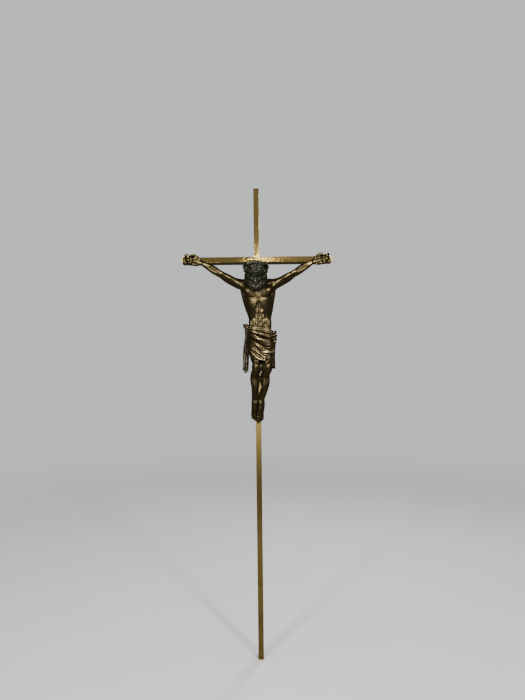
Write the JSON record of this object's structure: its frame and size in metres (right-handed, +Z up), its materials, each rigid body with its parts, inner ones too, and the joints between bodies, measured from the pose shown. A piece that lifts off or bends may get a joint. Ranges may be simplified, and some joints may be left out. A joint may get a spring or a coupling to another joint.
{
  "type": "processional cross",
  "caption": "Tall processional cross of slim rectangular brass tube, with a cast bronze figure wearing a crown of thorns nailed to its front.",
  "frame": {"origin": "centre of the lower face of the upright's foot", "axes": "+Z up along the upright; +X to the right of a person facing the cross; the front with the figure faces -Y"},
  "size_m": [0.55, 0.1599, 1.73],
  "materials": {
    "brass_tube": "drawn and brushed brass, lightly toned by age",
    "brass_fittings": "satin brass, darker than the tube",
    "bronze_figure": "cast bronze, dark patina rubbed bright on the raised parts",
    "bronze_cloth": "cast bronze, rubbed bright on the folds",
    "dark_bronze": "matt green-black patina"
  },
  "bodies": {
    "root": {"upright_tube": "brass_tube", "crossbar_arm_left": "brass_tube", "crossbar_arm_right": "brass_tube", "crossbar_spigot": "brass_fittings", "spigot_screws": "brass_fittings", "top_cap": "brass_fittings", "left_cap": "brass_fittings", "right_cap": "brass_fittings", "foot_plug": "brass_fittings", "corpus_body": "bronze_figure", "corpus_arm_left": "bronze_figure", "corpus_arm_right": "bronze_figure", "shoulder_pegs": "bronze_figure", "crown_of_thorns": "dark_bronze", "loincloth": "bronze_cloth", "loincloth_fall": "bronze_cloth", "hand_nail_left": "dark_bronze", "hand_nail_right": "dark_bronze", "foot_nail": "dark_bronze", "nail_washers": "brass_fittings", "nail_nuts": "brass_fittings"}
  },
  "joints": []
}
